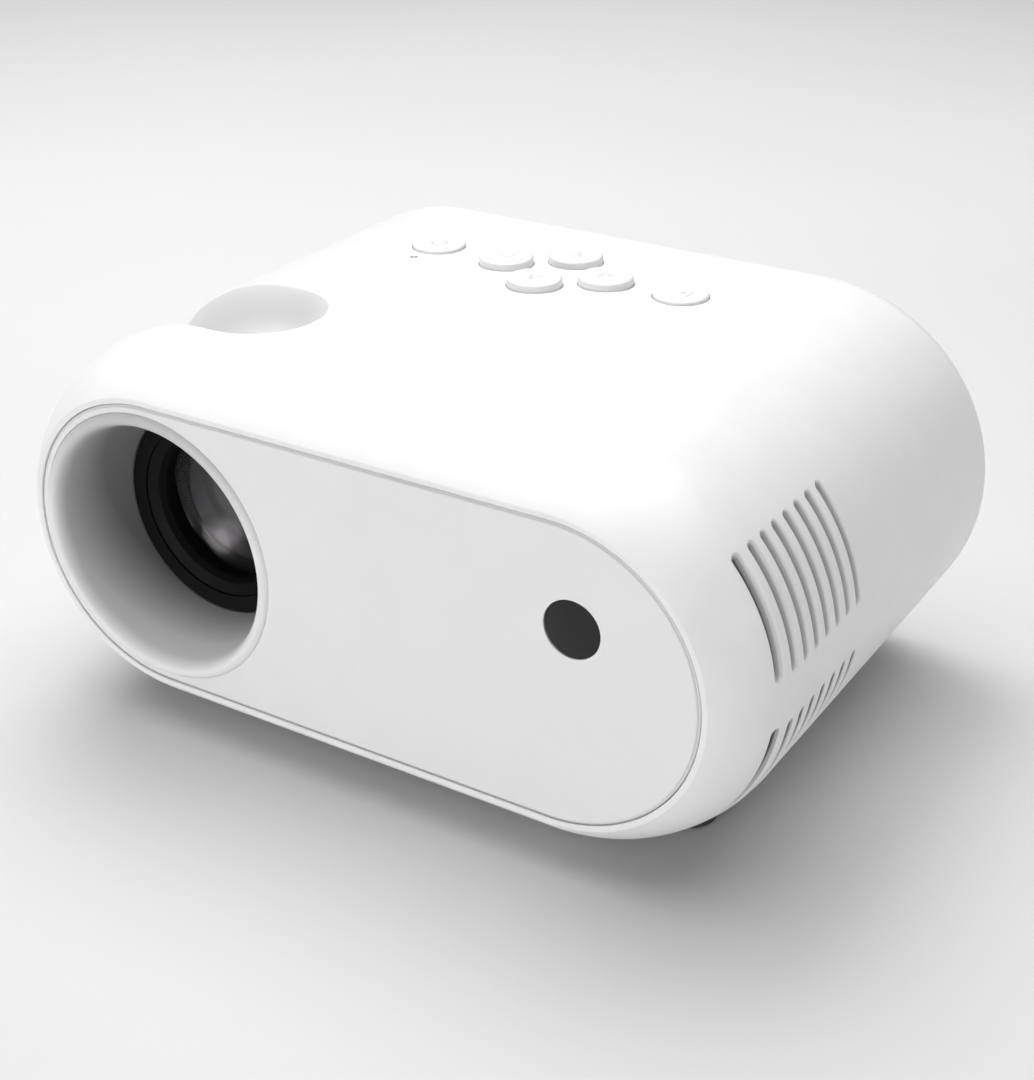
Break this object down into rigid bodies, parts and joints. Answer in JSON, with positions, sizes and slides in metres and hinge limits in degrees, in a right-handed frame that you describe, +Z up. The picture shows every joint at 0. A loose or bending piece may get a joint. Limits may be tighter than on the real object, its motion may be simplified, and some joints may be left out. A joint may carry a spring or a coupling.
{
  "type": "home projector",
  "caption": "Small home video projector: pill-shaped white casing, recessed lens at the front left, focus ring in a finger recess, top buttons, side vents and rear sockets.",
  "frame": {"origin": "middle of the footprint, on the table plane under the feet", "axes": "+Z up, -Y out of the lens towards the screen, +X to the right when looking from the lens side along +Y"},
  "size_m": [0.1706, 0.1188, 0.0842],
  "materials": {
    "casing": "satin white ABS",
    "rear_cover": "fine-textured white ABS",
    "front_panel": "fine matte pale grey",
    "hood": "satin pale grey",
    "buttons": "satin white",
    "ir_window": "dark infrared-clear plastic",
    "rubber": "matte dark grey",
    "silicone": "matte grey silicone",
    "light_guide": "clear acrylic",
    "brass": "machined",
    "zinc_screws": "zinc plated",
    "sheet_steel": "galvanised sheet",
    "lens_black": "matte black",
    "engine_black": "moulded black",
    "optical_glass": "polished, coated",
    "mirror": "front-silvered",
    "lcd": "dark panel",
    "reflector": "metallised",
    "led_board": "white solder mask",
    "heat_sink": "extruded",
    "foam": "open-cell foam",
    "speaker_frame": "black painted",
    "speaker_cone": "coated paper",
    "circuit_board": "green solder mask",
    "flex": "amber polyimide",
    "socket_metal": "nickel plated",
    "socket_black": "black"
  },
  "bodies": {
    "case": {"outer_shell": "casing", "front_panel": "front_panel", "lens_hood": "hood", "ir_window": "ir_window", "rear_cover": "rear_cover", "rear_cover_screws": "zinc_screws", "panel_screws": "zinc_screws", "chassis_screws": "zinc_screws", "keypad_mat": "silicone", "keypad_board": "circuit_board", "light_pipe": "light_guide", "foot_front_left": "rubber", "foot_front_right": "rubber", "foot_rear_left": "rubber", "foot_rear_right": "rubber", "tripod_insert": "brass", "chassis": "sheet_steel", "ring_retainer": "sheet_steel", "lens_mount": "lens_black", "engine_housing": "engine_black", "engine_lid": "engine_black", "engine_screws": "zinc_screws", "fold_mirror": "mirror", "front_fresnel": "optical_glass", "lcd_panel": "lcd", "rear_fresnel": "optical_glass", "heat_glass": "optical_glass", "light_cone": "reflector", "condenser_lens": "optical_glass", "led_module": "led_board", "led_screws": "zinc_screws", "heat_sink": "heat_sink", "fan_bracket": "sheet_steel", "fan_frame": "engine_black", "fan_screws": "zinc_screws", "dust_filter": "foam", "speaker": "speaker_frame", "speaker_cone": "speaker_cone", "main_board": "circuit_board", "hdmi_socket": "socket_metal", "usb_socket": "socket_metal", "av_socket": "socket_black", "dc_socket": "socket_black", "power_board": "circuit_board", "ir_board": "circuit_board", "lcd_flex": "flex"},
    "power_key": {"button_power": "buttons"},
    "left_key": {"button_left": "buttons"},
    "up_key": {"button_up": "buttons"},
    "down_key": {"button_down": "buttons"},
    "right_key": {"button_right": "buttons"},
    "source_key": {"button_source": "buttons"},
    "ring": {"focus_ring": "lens_black"},
    "barrel": {"lens_barrel": "lens_black", "focus_pins": "brass", "front_lens": "optical_glass", "middle_lens": "optical_glass", "rear_lens": "optical_glass", "lens_retainer": "lens_black"},
    "fan": {"fan_rotor": "engine_black"}
  },
  "joints": [
    {"name": "power_press", "type": "slide", "parent": "case", "child": "power_key", "axis": [0, 0, -1], "range_m": [0, 0.0006], "stiffness_N_per_m": 1500, "springref_m": -0.0003},
    {"name": "left_press", "type": "slide", "parent": "case", "child": "left_key", "axis": [0, 0, -1], "range_m": [0, 0.0006], "stiffness_N_per_m": 1500, "springref_m": -0.0003},
    {"name": "up_press", "type": "slide", "parent": "case", "child": "up_key", "axis": [0, 0, -1], "range_m": [0, 0.0006], "stiffness_N_per_m": 1500, "springref_m": -0.0003},
    {"name": "down_press", "type": "slide", "parent": "case", "child": "down_key", "axis": [0, 0, -1], "range_m": [0, 0.0006], "stiffness_N_per_m": 1500, "springref_m": -0.0003},
    {"name": "right_press", "type": "slide", "parent": "case", "child": "right_key", "axis": [0, 0, -1], "range_m": [0, 0.0006], "stiffness_N_per_m": 1500, "springref_m": -0.0003},
    {"name": "source_press", "type": "slide", "parent": "case", "child": "source_key", "axis": [0, 0, -1], "range_m": [0, 0.0006], "stiffness_N_per_m": 1500, "springref_m": -0.0003},
    {"name": "focus_turn", "type": "hinge", "parent": "case", "child": "ring", "pos_m": [-0.0453, -0.0244, 0.043], "axis": [0, 1, 0], "range_deg": [-60, 60]},
    {"name": "barrel_slide", "type": "slide", "parent": "case", "child": "barrel", "axis": [0, -1, 0], "range_m": [-0.00151, 0.00151]},
    {"name": "fan_spin", "type": "hinge", "parent": "case", "child": "fan", "pos_m": [0.067, -0.03, 0.043], "axis": [1, 0, 0], "continuous": true}
  ],
  "couplings": [
    {"joint": "barrel_slide", "follows": "focus_turn", "m_per_rad": 0.0014324}
  ]
}
